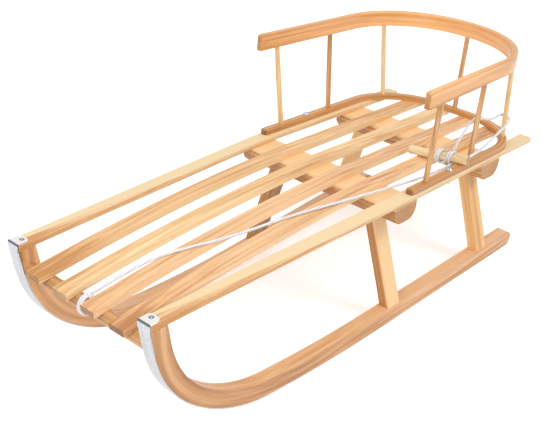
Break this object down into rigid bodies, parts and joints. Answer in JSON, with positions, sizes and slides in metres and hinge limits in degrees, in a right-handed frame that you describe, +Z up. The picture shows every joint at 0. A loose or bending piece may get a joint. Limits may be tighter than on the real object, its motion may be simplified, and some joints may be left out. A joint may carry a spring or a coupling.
{
  "type": "wooden sled with child backrest",
  "caption": "Slatted wooden sled on bent runners with steel shoes, splayed posts, a bent-wood child's backrest with turned spindles, and a pull cord with a wooden handle.",
  "frame": {"origin": "on the ground, in the middle of the sled's length and width", "axes": "+X to the front where the runners curl up, +Y to the left, +Z up"},
  "size_m": [1.0497, 0.39, 0.4537],
  "materials": {
    "runner_wood": "clear varnish over bent beech",
    "frame_wood": "clear varnish over planed beech",
    "slat_wood": "clear varnish over planed beech",
    "backrest_wood": "clear varnish over bent beech",
    "handle_wood": "turned, bare",
    "shoe_steel": "zinc-plated strip",
    "bolt_steel": "zinc-plated",
    "cord": "braided"
  },
  "bodies": {
    "root": {"runner_left": "runner_wood", "runner_right": "runner_wood", "shoe_left": "shoe_steel", "shoe_right": "shoe_steel", "post_front_left": "frame_wood", "post_front_right": "frame_wood", "post_rear_left": "frame_wood", "post_rear_right": "frame_wood", "bolster_front": "frame_wood", "bolster_rear": "frame_wood", "front_dowel": "frame_wood", "slat_outer_left": "slat_wood", "slat_outer_right": "slat_wood", "slat_inner_a": "slat_wood", "slat_inner_b": "slat_wood", "slat_inner_c": "slat_wood", "slat_inner_d": "slat_wood", "backrest_hoop": "backrest_wood", "backrest_rail": "backrest_wood", "spindle_left_front": "backrest_wood", "spindle_left_middle": "backrest_wood", "spindle_left_rear": "backrest_wood", "spindle_back": "backrest_wood", "spindle_right_rear": "backrest_wood", "spindle_right_middle": "backrest_wood", "spindle_right_front": "backrest_wood", "backrest_bolt_left": "bolt_steel", "backrest_bolt_right": "bolt_steel", "pull_cord": "cord", "cord_tie": "cord", "cord_wrap_handle": "cord", "cord_wrap_end": "cord", "cord_loop": "cord", "pull_handle": "handle_wood"}
  },
  "joints": []
}
